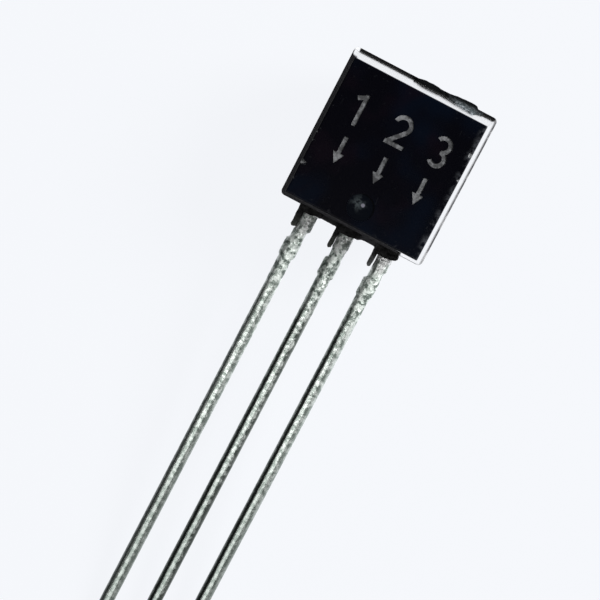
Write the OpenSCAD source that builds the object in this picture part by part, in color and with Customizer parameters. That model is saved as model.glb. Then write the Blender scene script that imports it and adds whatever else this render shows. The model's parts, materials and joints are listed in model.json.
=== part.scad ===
// TO-92 transistor: a moulded case with a flat front and a round back, on three tinned leads.
// It lies on its round back, with the flat facing up and the lead tips on the surface.
// X runs across the leads, +Y points up the case and away from the leads, and +Z is up.
// The origin is on the surface, under the middle of the whole part. Sizes are millimetres.

/* [Case] */
// Width of the case across its parting line, which is also the round back's diameter
case_w = 4.62; // [4.4:0.01:5.2]
// Height of the case along the leads, at its parting line
case_h = 4.8; // [4.4:0.05:5.3]
// Distance from the parting line forward to the flat face
flat_depth = 1.27; // [1.1:0.01:1.5]
// Draft of the walls left and right of the flat, in degrees
side_draft = 7.7; // [5:0.1:12]
// Draft of the walls above and below the flat, in degrees
top_draft = 9.5; // [5:0.1:12]
// Draft of the two ends of the round back, in degrees
end_draft = 5; // [2:0.5:8]
// Ledge along the sides, where the front half is narrower than the back half
side_step = 0.02; // [0.02:0.01:0.08]
// Ledge along the ends, where the front half is shorter than the back half
end_step = 0.04; // [0.04:0.01:0.08]
// Distance by which the front half was moulded lower than the back half
mould_shift = 0.03; // [0:0.01:0.03]
// Rounding of the four edges of the flat
edge_r = 0.06; // [0.03:0.01:0.12]
// Rounding of the case's corners, seen from the flat
corner_r = 0.12; // [0.06:0.01:0.2]

/* [Leads] */
// Distance between the centres of neighbouring leads
lead_pitch = 1.27; // [1.2:0.01:1.35]
// Width of a lead
lead_w = 0.4; // [0.36:0.01:0.45]
// Thickness of the lead frame
lead_t = 0.38; // [0.34:0.01:0.48]
// Rounding of a lead's long edges
lead_r = 0.15; // [0.04:0.01:0.16]
// Length of the leads below the case
lead_len = 14.3; // [12.5:0.1:15]
// Width of a lead where it leaves the case
root_w = 0.46; // [0.46:0.01:0.6]
// Length of that wider root below the case
root_len = 0.67; // [0.5:0.01:0.9]
// Width of a lead across the stubs of its trimmed tie bar
stub_w = 0.47; // [0.46:0.01:0.6]
// Distance from the case down to the tie-bar stubs
stub_from = 0.97; // [0.95:0.01:1.2]
// Length of the tie-bar stubs along the lead
stub_len = 0.56; // [0.4:0.01:0.8]

/* [Mould marks] */
// Width of the broken gate on the top end
gate_w = 1.1; // [0.7:0.05:1.4]
// Distance of the gate's middle from the case's centre line
gate_x = 1.1; // [0.8:0.05:1.2]
// Height of the broken gate above the top end
gate_rise = 0.11; // [0.08:0.01:0.25]
// Thickness of the gate in front of the parting line
gate_t = 0.5; // [0.4:0.05:0.8]
// Width of the low lump that the gate left near the middle of the top end
lump_w = 0.4; // [0.2:0.05:0.6]
// Distance of the lump's middle from the case's centre line
lump_x = 0.1; // [-0.2:0.05:0.2]
// Height of the lump above the top end
lump_rise = 0.06; // [0.04:0.01:0.1]
// Length of the resin web between the leads
web_len = 0.09; // [0.06:0.01:0.12]
// Length of the resin collar on the first lead
collar_len = 0.14; // [0.13:0.01:0.22]
// Growth of the collar from each lead to the next
collar_growth = 0.05; // [0.02:0.01:0.07]
// Resin in front of and behind a lead at its collar
collar_wall = 0.08; // [0.05:0.01:0.15]
// Width of the resin fin along a lead's left edge
fin_w = 0.12; // [0.08:0.01:0.16]
// Length of the fin beyond its collar
fin_len = 0.45; // [0.3:0.01:0.6]
// Thickness of the fin
fin_t = 0.28; // [0.2:0.01:0.32]
// Diameter of the ejector-pin mark on the flat
ejector_d = 0.8; // [0.6:0.05:1]
// Depth of the ejector-pin mark
ejector_depth = 0.03; // [0.02:0.01:0.05]
// Distance of the ejector-pin mark's middle from the flat's lower edge
ejector_up = 0.6; // [0.55:0.05:0.7]

/* [Marking] */
// Height of the pin numbers
digit_h = 0.96; // [0.8:0.02:1.1]
// Width of a pin number
digit_w = 0.6; // [0.5:0.02:0.7]
// Stroke width of the marking
mark_stroke = 0.13; // [0.1:0.01:0.16]
// Depth of the marking
mark_depth = 0.02; // [0.01:0.01:0.04]
// Distance of the numbers' middle above the case's middle
digit_y = 0.86; // [0.8:0.02:0.95]
// Height of the arrow under each number
arrow_h = 0.84; // [0.7:0.02:0.9]
// Width of an arrow's head
arrow_w = 0.36; // [0.3:0.02:0.5]
// Distance of the arrows' middle below the case's middle
arrow_down = 0.4; // [0.36:0.02:0.46]

/* [Inside] */
// Width of the collector lead's paddle, which carries the die
paddle_w = 2; // [1.8:0.05:2.1]
// Height of the paddle
paddle_h = 1.6; // [1.2:0.05:1.7]
// Resin between the paddle and the top end
paddle_cover = 0.8; // [0.6:0.05:1]
// Overhang of the paddle and the emitter head past the outer leads
head_lip = 0.15; // [0.1:0.01:0.25]
// Gap between neighbouring parts of the lead frame
frame_gap = 0.4; // [0.3:0.05:0.45]
// Width of the base lead's head
base_head_w = 0.85; // [0.7:0.05:1]
// Height of the base lead's head
base_head_h = 0.55; // [0.4:0.05:0.6]
// Height of the emitter lead's head
emitter_head_h = 0.9; // [0.7:0.05:1.2]
// Edge length of the die
die_w = 0.5; // [0.35:0.05:0.6]
// Thickness of the die
die_t = 0.2; // [0.15:0.01:0.25]
// Distance from the paddle's inner edge to the die's middle
die_inset = 0.55; // [0.45:0.05:0.7]
// Thickness of the layer that bonds the die to the paddle
attach_t = 0.03; // [0.02:0.01:0.05]
// Border of the bonding layer around the die
attach_border = 0.03; // [0.02:0.01:0.06]
// Diameter of a bond wire
wire_d = 0.05; // [0.04:0.01:0.06]
// Diameter of the ball at a wire's foot
ball_d = 0.1; // [0.09:0.01:0.13]
// Height of the ball at a wire's foot
ball_t = 0.03; // [0.02:0.01:0.04]
// Reach of a bond wire's arch above its feet
wire_rise = 0.42; // [0.3:0.02:0.5]
// Distance of a wire's ball from the die's middle
bond_offset = 0.13; // [0.11:0.01:0.14]

/* [Hidden] */

round_fn = 96;
arc_steps = 4; // flats on each rounded corner
arc_cuts = 8; // corners of the wedge that cuts an arc out of a ring
wire_sides = 8;
wire_rings = 12;
over = 0.1; // how far a cut runs past the face it opens

back_r = case_w / 2;
half_h = case_h / 2;
front_w = case_w - 2 * side_step;
front_h = case_h - 2 * end_step;
flat_half_h = front_h / 2 - flat_depth * tan(top_draft);
flat_low_y = -flat_half_h - mould_shift;

// The gate's broken edge, as shares of its rise, and the width of its steep right end.
gate_start = 0.3;
gate_middle = 0.75;
gate_end_w = 0.1 * gate_w;

// The strokes of the marking: where the one's flag starts and how far it stays below the top,
// the turn at which the two's hook leaves its arc, the ends of its arc and of the three's arcs,
// and the height of the arrow's head.
flag_out = 0.4 * digit_w;
flag_up = 0.3 * digit_h;
flag_drop = 0.6 * mark_stroke;
hook_turn = -35;
hook_end = 170;
bowl_end = 150;
arrow_head_h = 0.4 * arrow_h;

lead_x = [-lead_pitch, 0, lead_pitch];
tip_y = -half_h - lead_len;
root_from = 0.6; // the wide root starts this far inside the case

paddle_left = -lead_pitch - lead_w / 2 - head_lip;
paddle_right = paddle_left + paddle_w;
paddle_top = half_h - paddle_cover;
paddle_low = paddle_top - paddle_h;
base_head_top = paddle_low - frame_gap;
emitter_left = paddle_right + frame_gap;
emitter_right = lead_pitch + lead_w / 2 + head_lip;
emitter_mid_y = paddle_top - paddle_h / 2;

die_x = paddle_right - die_inset;
die_y = emitter_mid_y;
die_top = lead_t / 2 + attach_t + die_t;

// The lowest line of the round back ends short of the case's end by the draft, and the lead
// tips are level with that point once the part has tipped onto them.
back_end_y = half_h - back_r * tan(end_draft);
rest_tilt = atan((back_r - lead_t / 2) / (lead_len + half_h - back_end_y));
lowest_z = tip_y * sin(rest_tilt) - lead_t / 2 * cos(rest_tilt);
rear_y = tip_y * cos(rest_tilt) - lead_t / 2 * sin(rest_tilt);
back_top_y = back_end_y * cos(rest_tilt) + back_r * sin(rest_tilt);
gate_top_y = (half_h + gate_rise) * cos(rest_tilt);
front_y = max(back_top_y, gate_top_y);

// Places what is built around the parting line in its rest position.
module seated() {
    translate([0, -(front_y + rear_y) / 2, -lowest_z])
        rotate([rest_tilt, 0, 0])
            children();
}

// A flat profile in X and Z, drawn in X and Y, swept along Y by a length centred on zero.
module sweep_y(length) {
    rotate([90, 0, 0])
        linear_extrude(height = length, center = true)
            children();
}

// A flat profile in Y and Z, drawn in X and Y, swept along X by a length centred on zero.
module sweep_x(length) {
    rotate([90, 0, 90])
        linear_extrude(height = length, center = true)
            children();
}

// Points of a rounded corner with its centre at c, from one angle to another.
function corner(c, r, from, to) = [
    for (i = [0 : arc_steps])
        c + r * [cos(from + (to - from) * i / arc_steps), sin(from + (to - from) * i / arc_steps)]
];

function mirrored(points) = [for (i = [len(points) - 1 : -1 : 0]) [-points[i].x, points[i].y]];

// Half of the front's outline: a wall that leans in by its draft and rounds into the flat.
function drafted_half(base, height, draft, r) =
    let (top = base / 2 - height * tan(draft))
    let (c = [top - r * (1 - sin(draft)) / cos(draft), height - r])
    concat([[base / 2, 0]], corner(c, r, draft, 90));

module drafted(base, height, draft, r) {
    half = drafted_half(base, height, draft, r);
    polygon(concat(half, mirrored(half)));
}

module rounded_rect(w, h, r) {
    right = concat(
        corner([w / 2 - r, -h / 2 + r], r, -90, 0),
        corner([w / 2 - r, h / 2 - r], r, 0, 90)
    );
    polygon(concat(right, mirrored(right)));
}

// A straight block from one height to another, centred on the parting line.
module block(left, right, low, high, t) {
    translate([left, low, -t / 2])
        cube([right - left, high - low, t]);
}

/* ---- case ---- */

module front_half() {
    translate([0, -mould_shift, 0])
        intersection() {
            sweep_y(case_h) drafted(front_w, flat_depth, side_draft, edge_r);
            sweep_x(case_w) drafted(front_h, flat_depth, top_draft, edge_r);
            linear_extrude(height = flat_depth) rounded_rect(front_w, front_h, corner_r);
        }
}

module back_half() {
    narrow = 2 * back_end_y;
    intersection() {
        rotate([90, 0, 0]) cylinder(h = case_h, r = back_r, center = true, $fn = round_fn);
        sweep_x(case_w)
            polygon([
                [-half_h, 0], [half_h, 0],
                [narrow / 2, -back_r], [-narrow / 2, -back_r]
            ]);
        translate([0, 0, -back_r])
            linear_extrude(height = back_r) rounded_rect(case_w, case_h, corner_r);
    }
}

// The gate broke off rough: a low lump near the middle and a wedge beside it that rises
// outwards. Both start inside the drafted wall.
module gate() {
    left = gate_x - gate_w / 2;
    right = gate_x + gate_w / 2;
    linear_extrude(height = gate_t)
        polygon([
            [left, flat_half_h], [left, half_h + gate_rise * gate_start],
            [gate_x, half_h + gate_rise * gate_middle], [right - gate_end_w, half_h + gate_rise],
            [right, half_h], [right, flat_half_h]
        ]);
    linear_extrude(height = gate_t / 2)
        polygon([
            [lump_x - lump_w / 2, flat_half_h], [lump_x - lump_w / 2, half_h],
            [lump_x, half_h + lump_rise], [lump_x + lump_w / 2, half_h],
            [lump_x + lump_w / 2, flat_half_h]
        ]);
}

module resin_at_leads() {
    block(lead_x[0], lead_x[2], -half_h - web_len, -half_h + over, lead_t);
    for (i = [0 : 2]) {
        left = lead_x[i] - root_w / 2;
        right = lead_x[i] + root_w / 2;
        low = -half_h - collar_len - i * collar_growth;
        block(left - fin_w, right + collar_wall, low, -half_h + over, lead_t + 2 * collar_wall);
        block(left - fin_w, left, low - fin_len, low + over, fin_t);
    }
}

module bar(a, b) {
    d = b - a;
    translate(a)
        rotate(atan2(d.y, d.x))
            translate([0, -mark_stroke / 2])
                square([norm(d), mark_stroke]);
}

module arc(c, r, from, to) {
    reach = 3 * r;
    translate(c)
        intersection() {
            difference() {
                circle(r + mark_stroke / 2, $fn = round_fn);
                circle(r - mark_stroke / 2, $fn = round_fn);
            }
            polygon(concat([[0, 0]], [
                for (i = [0 : arc_cuts])
                    let (a = from + (to - from) * i / arc_cuts)
                    reach * [cos(a), sin(a)]
            ]));
        }
}

module digit_one() {
    top = [0, digit_h / 2];
    bar(-top, top);
    bar([-flag_out, flag_up], top - [0, flag_drop]);
}

module digit_two() {
    r = (digit_w - mark_stroke) / 2;
    c = [0, digit_h / 2 - digit_w / 2];
    low = -digit_h / 2 + mark_stroke / 2;
    arc(c, r, hook_turn, hook_end);
    bar([-r, low], c + r * [cos(hook_turn), sin(hook_turn)]);
    bar([-digit_w / 2, low], [digit_w / 2, low]);
}

module digit_three() {
    r = (digit_h - mark_stroke) / 4;
    arc([0, r], r, -90, bowl_end);
    arc([0, -r], r, -bowl_end, 90);
}

module arrow() {
    low = -arrow_h / 2;
    neck = low + arrow_head_h;
    bar([0, (low + neck) / 2], [0, arrow_h / 2]);
    polygon([[-arrow_w / 2, neck], [0, low], [arrow_w / 2, neck]]);
}

// Sinks a flat drawing into the flat face by a depth.
module sunk(depth) {
    translate([0, 0, flat_depth - depth])
        linear_extrude(height = depth + over)
            children();
}

module marking() {
    for (x = lead_x)
        sunk(mark_depth) translate([x, -arrow_down]) arrow();
    sunk(mark_depth) translate([lead_x[0], digit_y]) digit_one();
    sunk(mark_depth) translate([lead_x[1], digit_y]) digit_two();
    sunk(mark_depth) translate([lead_x[2], digit_y]) digit_three();
}

module ejector_mark() {
    translate([0, flat_low_y + ejector_up, flat_depth - ejector_depth])
        cylinder(h = ejector_depth + over, d = ejector_d, $fn = round_fn);
}

module case() {
    color([0.06, 0.06, 0.08])
        seated()
            difference() {
                union() {
                    front_half();
                    back_half();
                    gate();
                    resin_at_leads();
                }
                marking();
                ejector_mark();
                collector_shape();
                base_shape();
                emitter_shape();
                die_shape();
                attach_shape();
                base_wire_shape();
                emitter_wire_shape();
            }
}

/* ---- leads ---- */

module length_of_lead(x, w, low, high) {
    translate([x, (low + high) / 2, 0])
        sweep_y(high - low) rounded_rect(w, lead_t, lead_r);
}

// One lead below the case, with its wide root and its tie-bar stubs, and up to a head inside.
module lead_bar(x, top_y) {
    stub_top = -half_h - stub_from;
    length_of_lead(x, lead_w, tip_y, top_y);
    length_of_lead(x, root_w, -half_h - root_len, -half_h + root_from);
    length_of_lead(x, stub_w, stub_top - stub_len, stub_top);
}

module collector_shape() {
    lead_bar(lead_x[0], paddle_low + over);
    block(paddle_left, paddle_right, paddle_low, paddle_top, lead_t);
}

module base_shape() {
    lead_bar(lead_x[1], base_head_top - base_head_h + over);
    block(-base_head_w / 2, base_head_w / 2, base_head_top - base_head_h, base_head_top, lead_t);
}

module emitter_shape() {
    low = emitter_mid_y - emitter_head_h / 2;
    lead_bar(lead_x[2], low + over);
    block(emitter_left, emitter_right, low, low + emitter_head_h, lead_t);
}

module collector_lead() {
    color([0.72, 0.74, 0.73]) seated() collector_shape();
}

module base_lead() {
    color([0.72, 0.74, 0.73]) seated() base_shape();
}

module emitter_lead() {
    color([0.72, 0.74, 0.73]) seated() emitter_shape();
}

/* ---- die, its bond and its wires ---- */

module attach_shape() {
    size = die_w + 2 * attach_border;
    translate([die_x - size / 2, die_y - size / 2, lead_t / 2])
        cube([size, size, attach_t]);
}

module die_shape() {
    translate([die_x - die_w / 2, die_y - die_w / 2, lead_t / 2 + attach_t])
        cube([die_w, die_w, die_t]);
}

function bezier(p, t) =
    pow(1 - t, 3) * p[0] + 3 * t * pow(1 - t, 2) * p[1] + 3 * t * t * (1 - t) * p[2]
    + pow(t, 3) * p[3];

function bezier_slope(p, t) =
    pow(1 - t, 2) * (p[1] - p[0]) + 2 * t * (1 - t) * (p[2] - p[1]) + t * t * (p[3] - p[2]);

function ring(c, along, side, r) =
    let (n = cross(side, along / norm(along)))
    [for (k = [0 : wire_sides - 1])
        c + r * (cos(360 * k / wire_sides) * side + sin(360 * k / wire_sides) * n)];

// A wire that rises straight out of a ball at a, arches over and comes down on a foot at b.
module bond_wire(a, b) {
    up = [0, 0, 1];
    lift = ball_t * up;
    route = [a + lift, a + wire_rise * up, b + wire_rise * up, b + lift];
    flat_way = [b.x - a.x, b.y - a.y, 0];
    side = cross(up, flat_way / norm(flat_way));
    rings = concat(
        [ring(a, up, side, ball_d / 2), ring(a + lift, up, side, ball_d / 2)],
        [for (i = [0 : wire_rings])
            ring(bezier(route, i / wire_rings), bezier_slope(route, i / wire_rings), side, wire_d / 2)],
        [ring(b + lift, -up, side, ball_d / 2), ring(b, -up, side, ball_d / 2)]
    );
    count = len(rings);
    last = (count - 1) * wire_sides;
    polyhedron(
        points = [for (one = rings) each one],
        faces = concat(
            [[for (k = [0 : wire_sides - 1]) k]],
            [for (i = [0 : count - 2], k = [0 : wire_sides - 1])
                let (next = (k + 1) % wire_sides)
                [i * wire_sides + k, (i + 1) * wire_sides + k,
                 (i + 1) * wire_sides + next, i * wire_sides + next]],
            [[for (k = [wire_sides - 1 : -1 : 0]) last + k]]
        ),
        convexity = 4
    );
}

module base_wire_shape() {
    bond_wire(
        [die_x, die_y - bond_offset, die_top],
        [0, base_head_top - base_head_h / 2, lead_t / 2]
    );
}

module emitter_wire_shape() {
    bond_wire(
        [die_x + bond_offset, die_y, die_top],
        [(emitter_left + emitter_right) / 2, die_y, lead_t / 2]
    );
}

module die() {
    color([0.35, 0.37, 0.42]) seated() die_shape();
}

module die_attach() {
    color([0.8, 0.8, 0.82]) seated() attach_shape();
}

module base_wire() {
    color([0.85, 0.68, 0.28]) seated() base_wire_shape();
}

module emitter_wire() {
    color([0.85, 0.68, 0.28]) seated() emitter_wire_shape();
}

case();
collector_lead();
base_lead();
emitter_lead();
die();
die_attach();
base_wire();
emitter_wire();
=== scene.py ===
import json
import math

import bmesh
import bpy
from mathutils import Euler, Matrix, Vector, noise


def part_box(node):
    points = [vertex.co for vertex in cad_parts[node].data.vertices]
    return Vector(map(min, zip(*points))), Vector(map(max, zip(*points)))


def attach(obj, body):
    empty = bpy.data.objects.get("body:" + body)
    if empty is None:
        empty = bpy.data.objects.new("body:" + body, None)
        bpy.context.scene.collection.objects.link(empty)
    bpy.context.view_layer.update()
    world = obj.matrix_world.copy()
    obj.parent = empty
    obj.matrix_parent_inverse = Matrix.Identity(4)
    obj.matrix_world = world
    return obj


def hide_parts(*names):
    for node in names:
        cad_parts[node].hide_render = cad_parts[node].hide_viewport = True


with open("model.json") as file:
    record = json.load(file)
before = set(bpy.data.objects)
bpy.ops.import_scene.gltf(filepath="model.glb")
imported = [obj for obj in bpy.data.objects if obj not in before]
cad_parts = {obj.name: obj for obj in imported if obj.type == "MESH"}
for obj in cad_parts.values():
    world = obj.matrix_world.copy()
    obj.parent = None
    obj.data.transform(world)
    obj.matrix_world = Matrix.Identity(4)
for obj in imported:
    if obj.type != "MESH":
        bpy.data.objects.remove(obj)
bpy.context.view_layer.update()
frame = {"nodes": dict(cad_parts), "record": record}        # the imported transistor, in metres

# the case's own axes, from the mounts: X across the leads, Y up the case, Z out of the flat
mm = 0.001
mounts = {mount["name"]: mount for mount in frame["record"]["mounts"]}
flatAt = Vector(mounts["flat"]["pos_m"])
flatNormal = Vector(mounts["flat"]["axis"])
tipAt = Vector(mounts["base_pin"]["pos_m"])
upCase = -Vector(mounts["base_pin"]["axis"])

leadLength = mounts["base_pin"]["dims"]["length_mm"]
leadPitch = mounts["emitter_pin"]["pos_m"][0] / mm
flatDepth = (flatAt - tipAt).dot(flatNormal) / mm
halfHeight = (flatAt - tipAt).dot(upCase) / mm - leadLength
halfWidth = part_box("case")[1].x / mm
restTilt = math.atan2(-flatNormal.y, flatNormal.z)
origin = flatAt - flatNormal * flatDepth * mm

turned = Matrix.Translation(origin) @ Matrix.Rotation(restTilt, 4, "X")
place = turned @ Matrix.Scale(mm, 4)        # pieces are made in millimetres around the parting line
leadX = [-leadPitch, 0.0, leadPitch]
leadNames = ["collector_lead", "base_lead", "emitter_lead"]
leadGap = (0.5, 0.7)        # mm from the middle, where one lead's finish gives way to the next one's
noise.seed_set(3)           # without a seed the chips and the rough resin come out different each run


# node helpers
class Wire:
    # a node's socket that can be used in sums, stepped, blended or fed to a noise
    def __init__(self, tree, socket):
        self.tree, self.socket = tree, socket

    def math(self, operation, other=0.0, swapped=False):
        first, second = (other, self) if swapped else (self, other)
        return addNode(self.tree, "ShaderNodeMath", {0: first, 1: second}, operation=operation)

    def __add__(self, other): return self.math("ADD", other)
    def __sub__(self, other): return self.math("SUBTRACT", other)
    def __mul__(self, other): return self.math("MULTIPLY", other)
    def __truediv__(self, other): return self.math("DIVIDE", other)
    def __rsub__(self, other): return self.math("SUBTRACT", other, True)
    __radd__, __rmul__ = __add__, __mul__

    def larger(self, other):
        return self.math("MAXIMUM", other)

    def step(self, low, high, toLow=0.0, toHigh=1.0):
        return addNode(self.tree, "ShaderNodeMapRange", {
            "Value": self, "From Min": low, "From Max": high, "To Min": toLow, "To Max": toHigh,
        }, interpolation_type="SMOOTHSTEP")

    def past(self, edge, reach, toLow=0.0, toHigh=1.0):
        # a step over a reach that is measured from an edge
        return self.step(edge + reach[0], edge + reach[1], toLow, toHigh)

    def blend(self, first, second):
        return addNode(self.tree, "ShaderNodeMix", {0: self, 6: first, 7: second}, out=2, data_type="RGBA")

    def axes(self):
        return [addNode(self.tree, "ShaderNodeSeparateXYZ", {0: self}, out=k) for k in range(3)]

    def noise(self, scale, detail=3.0, rough=0.5, stretch=None):
        where = self
        if stretch:
            where = addNode(self.tree, "ShaderNodeVectorMath", {0: self, 1: stretch}, operation="MULTIPLY")
        return addNode(self.tree, "ShaderNodeTexNoise", {
            "Vector": where, "Scale": scale, "Detail": detail, "Roughness": rough})

    def patches(self, scale, detail, rough, low, high, stretch=None):
        # a noise that comes in between two of its levels
        return self.noise(scale, detail, rough, stretch).step(low, high)

    def bump(self, strength, depth):
        return addNode(self.tree, "ShaderNodeBump", {
            "Strength": strength, "Distance": depth * mm, "Height": self})


def addNode(tree, kind, sockets=None, out=0, **settings):
    node = tree.nodes.new(kind)
    for name, value in settings.items():
        setattr(node, name, value)
    for key, value in (sockets or {}).items():
        if isinstance(value, Wire):
            tree.links.new(value.socket, node.inputs[key])
        else:
            node.inputs[key].default_value = value
    return Wire(tree, node.outputs[out]) if len(node.outputs) else node


def principled(tree, sockets):
    return addNode(tree, "ShaderNodeBsdfPrincipled", sockets)


def mixShader(factor, first, second):
    return addNode(factor.tree, "ShaderNodeMixShader", {0: factor, 1: first, 2: second})


def newMaterial(name):
    material = bpy.data.materials.new(name)
    material.use_nodes = True
    material.node_tree.nodes.clear()
    return material, material.node_tree


def caseSpace(tree):
    # object coordinates turned back into the case's own axes, in millimetres
    return addNode(tree, "ShaderNodeMapping", {
        "Vector": addNode(tree, "ShaderNodeTexCoord", out="Object"), "Location": origin,
        "Rotation": (restTilt, 0, 0), "Scale": (mm, mm, mm)}, vector_type="TEXTURE")


def finishMaterial(material, shader):
    addNode(material.node_tree, "ShaderNodeOutputMaterial", {"Surface": shader})
    return material


# mesh helpers
def meshObject(name, mesh):
    thing = bpy.data.objects.new(name, mesh)
    bpy.context.scene.collection.objects.link(thing)
    return thing


def bmeshObject(name, bm):
    bmesh.ops.recalc_face_normals(bm, faces=bm.faces)
    mesh = bpy.data.meshes.new(name)
    bm.to_mesh(mesh)
    bm.free()
    return meshObject(name, mesh)


def giveFinish(thing, finish):
    thing.data.materials.clear()
    thing.data.materials.append(finish)


def bake(thing):
    # turns the modifiers into a plain mesh
    graph = bpy.context.evaluated_depsgraph_get()
    graph.update()
    mesh = bpy.data.meshes.new_from_object(thing.evaluated_get(graph), depsgraph=graph)
    thing.modifiers.clear()
    old, thing.data = thing.data, mesh
    bpy.data.meshes.remove(old)


def combine(thing, other, operation, transfer=False):
    step = thing.modifiers.new(operation, "BOOLEAN")
    step.operation, step.solver, step.object = operation, "EXACT", other
    step.use_self = True
    step.material_mode = "TRANSFER" if transfer else "INDEX"
    bake(thing)
    bpy.data.objects.remove(other)


def addPrism(bm, rings):
    # rings are an outline with its Z, from the lowest to the highest
    rings = [[bm.verts.new((p.x, p.y, z)) for p in outline] for outline, z in rings]
    for low, high in zip(rings, rings[1:]):
        for k in range(len(low)):
            after = (k + 1) % len(low)
            bm.faces.new((low[k], low[after], high[after], high[k]))
    bm.faces.new(rings[0][::-1])
    bm.faces.new(rings[-1])


def ridesOn(piece, slot, *nodes):
    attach(piece, "root")
    if nodes:
        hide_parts(*nodes)


# the camera's place and turns are in the case's own axes, so the view keeps to the case
camera = {
    "at": (1.336, 3.564, 61.840), "turn": (-6.203, 4.986, 27.443), "angle": 16.0,
    "nearest": 0.002, "farthest": 5.0,
}


def makeCamera():
    data = bpy.data.cameras.new("camera")
    data.angle = math.radians(camera["angle"])
    data.clip_start, data.clip_end = camera["nearest"], camera["farthest"]
    thing = bpy.data.objects.new("camera", data)
    turn = Euler([math.radians(angle) for angle in camera["turn"]]).to_matrix().to_4x4()
    thing.matrix_world = turned @ Matrix.Translation(Vector(camera["at"]) * mm) @ turn
    bpy.context.scene.collection.objects.link(thing)
    bpy.context.scene.camera = thing
    bpy.context.scene.view_settings.view_transform = "Standard"


studio = {
    "floorSize": 0.6,
    "floorColour": (0.90, 0.915, 0.945, 1.0),
    "paper": (0.913, 0.930, 0.965, 1.0),
    "shadowShare": 0.035,        # how much of the real shading shows on the floor
    "sky": (0.03, 0.03, 0.03, 1.0),
    "horizon": (0.084, 0.14),        # sine of the heights between which the pale surroundings end
    # name: place, target (mm), size (mm), watts
    "panels": {
        "key": ((135, 110, 125), (0, 0, 1), (90, 90), 0.80),
        "lead strip": ((0, -50, 95), (0, -6, 1), (68, 40), 0.0195),
        "side": ((85, -40, 45), (0, -4, 1), (70, 60), 0.004),
    },
}


def makeWorld():
    world = bpy.data.worlds.new("studio")
    world.use_nodes = True
    tree = world.node_tree
    tree.nodes.clear()
    height = addNode(tree, "ShaderNodeTexCoord", out="Generated").axes()[2]
    background = addNode(tree, "ShaderNodeBackground", {
        "Color": height.step(*studio["horizon"]).blend(studio["paper"], studio["sky"])})
    addNode(tree, "ShaderNodeOutputWorld", {"Surface": background})
    bpy.context.scene.world = world


def makeFloor():
    # seen or mirrored it is plain paper with a little of the real shading
    material, tree = newMaterial("studioFloor")
    seen, mirrored, through = [addNode(tree, "ShaderNodeLightPath", out="Is %s Ray" % kind)
                               for kind in ("Camera", "Glossy", "Transmission")]
    paper = addNode(tree, "ShaderNodeEmission", {"Color": studio["paper"]})
    lit = addNode(tree, "ShaderNodeBsdfDiffuse", {"Color": studio["floorColour"]})
    share = seen.larger(mirrored).larger(through) * (1 - studio["shadowShare"])
    finishMaterial(material, mixShader(share, lit, paper))
    bm = bmesh.new()
    bmesh.ops.create_grid(bm, x_segments=1, y_segments=1, size=studio["floorSize"] / 2)
    floor = bmeshObject("floor", bm)
    giveFinish(floor, material)


def makePanels():
    for name, (at, target, size, watts) in studio["panels"].items():
        data = bpy.data.lights.new(name, "AREA")
        data.shape = "RECTANGLE"
        data.size, data.size_y = size[0] * mm, size[1] * mm
        data.energy = watts
        panel = bpy.data.objects.new(name, data)
        at, target = Vector(at) * mm, Vector(target) * mm
        panel.location = at
        panel.rotation_euler = (target - at).to_track_quat("-Z", "Y").to_euler()
        bpy.context.scene.collection.objects.link(panel)


makeCamera()
makeWorld()
makeFloor()
makePanels()
print("camera and studio ready")


# moulded case: drafts in degrees, the rest in millimetres
case = {
    "sideDraft": 7.7, "topDraft": 9.5, "endDraft": 5.0,
    "sideStep": 0.02, "endStep": 0.04, "mouldShift": 0.03, "overlap": 0.3,
    "flatRound": 0.06, "cornerRound": 0.08, "flatCornerRound": 0.03,
    "backRound": 0.03, "backCornerRound": 0.14, "backRoundSteps": 3,
    "backSteps": 72, "cornerSteps": 8, "rimSteps": 5, "rimFrom": 10.0, "sharpFrom": 35.0,
    "ejector": 0.4, "ejectorDepth": 0.03, "ejectorUp": 0.6, "ejectorSteps": 48,
}
sideSlope, topSlope = [math.tan(math.radians(case[name])) for name in ("sideDraft", "topDraft")]
frontHalfWidth, frontHalfHeight = halfWidth - case["sideStep"], halfHeight - case["endStep"]
flatHalfWidth, flatHalfHeight = frontHalfWidth - flatDepth * sideSlope, frontHalfHeight - flatDepth * topSlope
flatLow, flatTop = -flatHalfHeight - case["mouldShift"], flatHalfHeight - case["mouldShift"]


def onCircle(turn, radius=1.0):
    return radius * Vector((math.cos(turn), math.sin(turn)))


def roundedOutline(halfX, halfY, radius):
    steps = case["cornerSteps"]
    points = []
    for quarter, (signX, signY) in enumerate(((1, 1), (-1, 1), (-1, -1), (1, -1))):
        for k in range(steps + 1):
            turn = math.pi / 2 * (quarter + k / steps)
            points.append(Vector((signX * (halfX - radius) + radius * math.cos(turn),
                                  signY * (halfY - radius) + radius * math.sin(turn))))
    return points


def frontHalf():
    rim, shift = case["flatRound"], Vector((0, -case["mouldShift"]))

    def inset(draft, turn):
        # how far the rounded rim lies inside the wall's foot
        draft = math.radians(draft)
        lean = flatDepth * math.tan(draft) + rim * (1 - math.sin(draft)) / math.cos(draft)
        return lean - rim * math.cos(turn)

    levels = [(0.0, 0.0, -case["overlap"]), (0.0, 0.0, 0.0)]
    for k in range(case["rimSteps"] + 1):
        turn = math.radians(case["rimFrom"] + (90 - case["rimFrom"]) * k / case["rimSteps"])
        levels.append((inset(case["sideDraft"], turn), inset(case["topDraft"], turn),
                       flatDepth - rim * (1 - math.sin(turn))))
    sections = []
    for inX, inY, z in levels:
        share = max(z, 0.0) / flatDepth
        radius = case["cornerRound"] * (1 - share) + case["flatCornerRound"] * share
        outline = roundedOutline(frontHalfWidth - inX, frontHalfHeight - inY, radius)
        sections.append(([p + shift for p in outline], z))
    bm = bmesh.new()
    addPrism(bm, sections)
    return bmeshObject("front_half", bm)


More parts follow.
